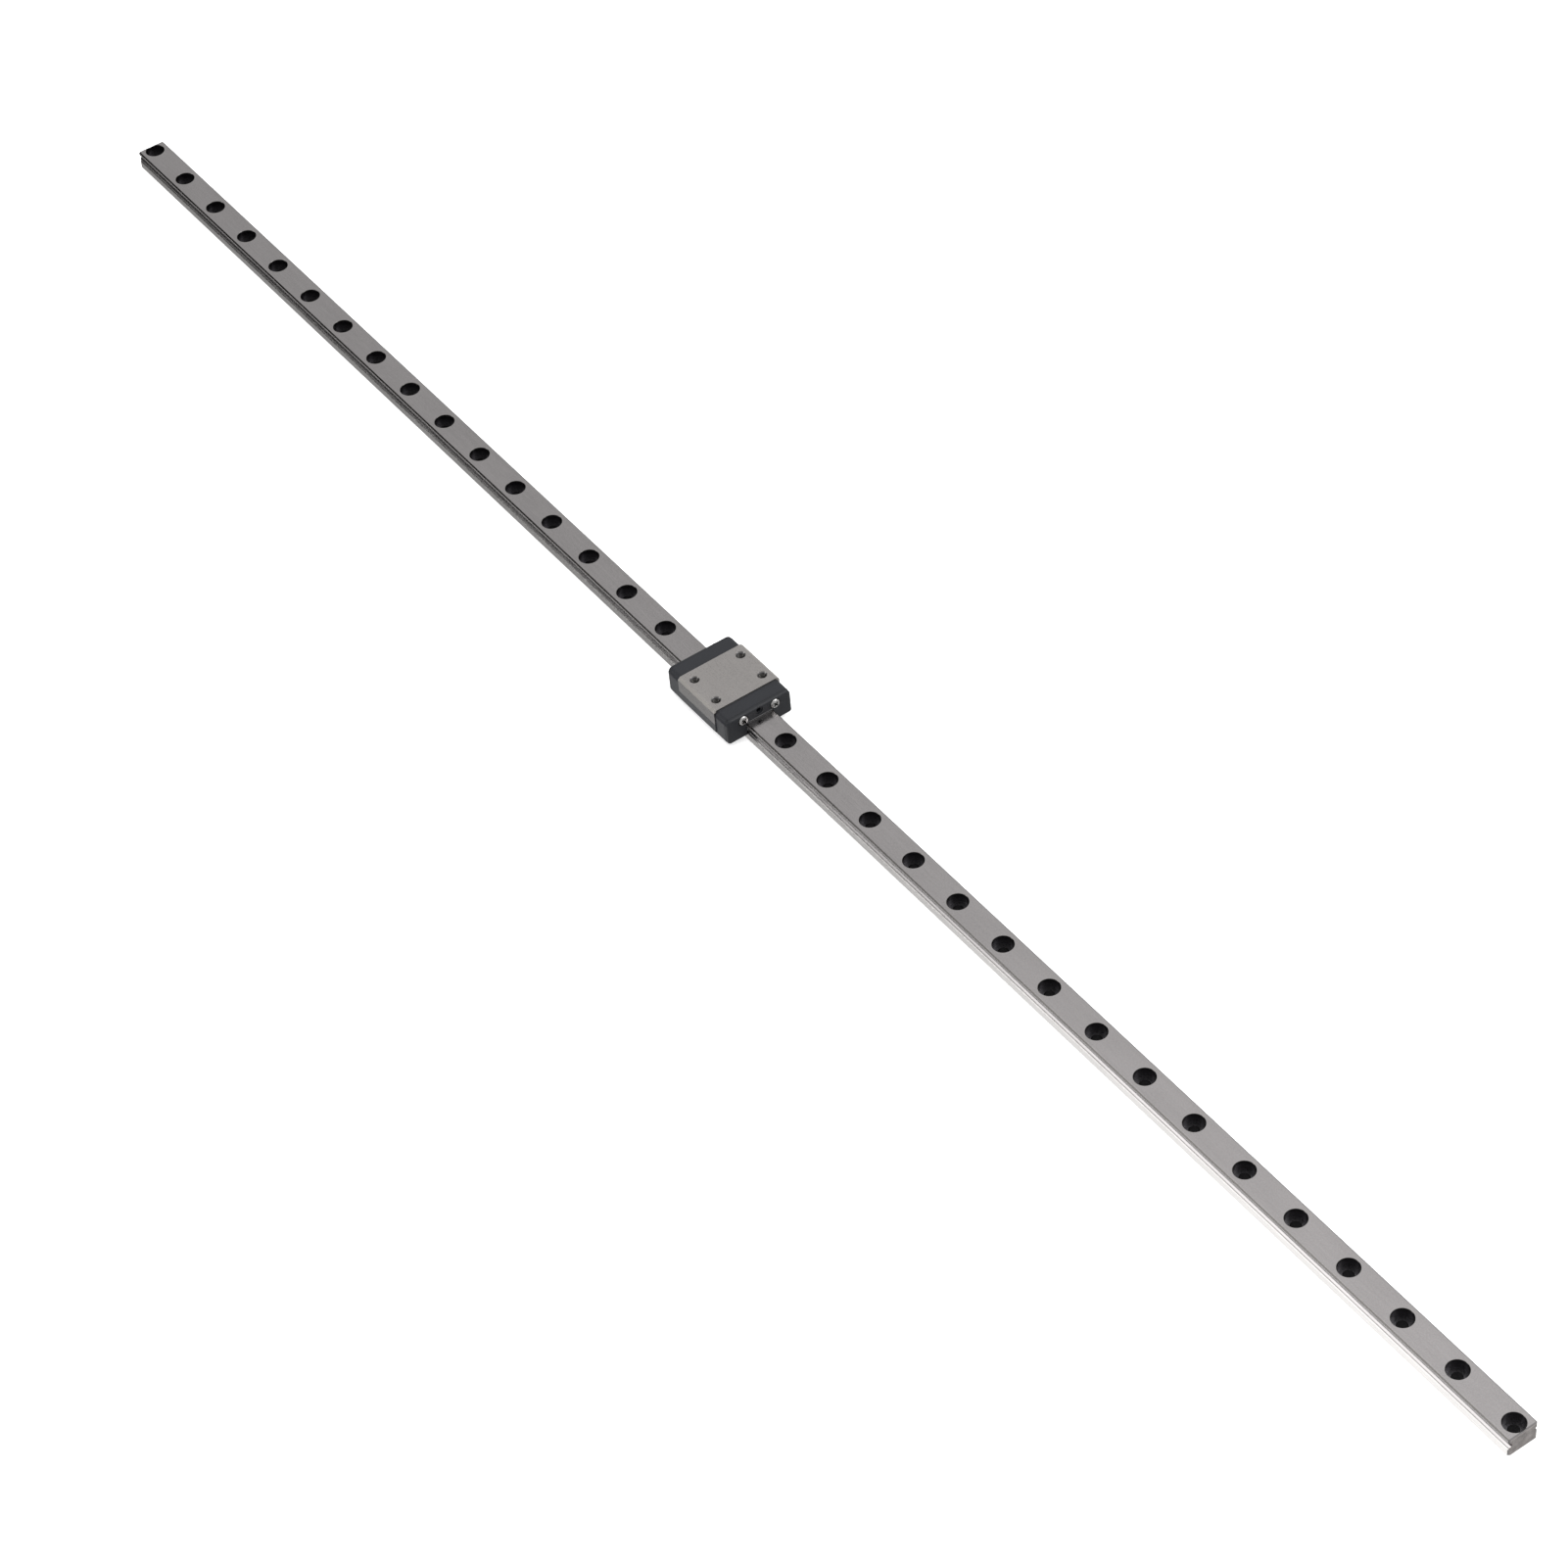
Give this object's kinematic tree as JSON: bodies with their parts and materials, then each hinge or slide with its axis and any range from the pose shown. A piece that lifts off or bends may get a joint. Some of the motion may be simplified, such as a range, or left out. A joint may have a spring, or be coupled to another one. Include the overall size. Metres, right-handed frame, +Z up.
{
  "type": "linear guide carriage",
  "caption": "Miniature profiled-rail linear guide: short recirculating-ball carriage with black end caps, end seals and tapped top holes, sliding on a counterbored rail.",
  "frame": {"origin": "centre of the rail's bottom face, midway along its length", "axes": "+X along the rail towards the carriage's front end, +Y to the carriage's right side, +Z up out of the rail's top face"},
  "size_m": [0.5, 0.017, 0.008],
  "materials": {
    "ground_steel": "ground and hardened, fine grain along the length",
    "block_steel": "ground, satin",
    "frame_plastic": "moulded black, fine texture",
    "cap_plastic": "moulded blue-black, fine texture",
    "seal_rubber": "nitrile rubber, dull",
    "screw_nickel": "bright nickel plate",
    "ball_steel": "polished bearing steel",
    "wire_steel": "drawn spring steel"
  },
  "bodies": {
    "rail": {"rail": "ground_steel"},
    "carriage": {"carriage_block": "block_steel", "left_return_frame": "frame_plastic", "left_retaining_wire": "wire_steel", "left_load_balls": "ball_steel", "left_return_balls": "ball_steel", "left_front_turn_balls": "ball_steel", "left_rear_turn_balls": "ball_steel", "right_return_frame": "frame_plastic", "right_retaining_wire": "wire_steel", "right_load_balls": "ball_steel", "right_return_balls": "ball_steel", "right_front_turn_balls": "ball_steel", "right_rear_turn_balls": "ball_steel", "front_end_cap": "cap_plastic", "front_end_seal": "seal_rubber", "front_left_turn_guide": "frame_plastic", "front_left_screw": "screw_nickel", "front_right_turn_guide": "frame_plastic", "front_right_screw": "screw_nickel", "rear_end_cap": "cap_plastic", "rear_end_seal": "seal_rubber", "rear_left_turn_guide": "frame_plastic", "rear_left_screw": "screw_nickel", "rear_right_turn_guide": "frame_plastic", "rear_right_screw": "screw_nickel"}
  },
  "joints": [
    {"name": "carriage_slide", "type": "slide", "parent": "rail", "child": "carriage", "axis": [1, 0, 0], "range_m": [-0.24045, 0.23705]}
  ]
}
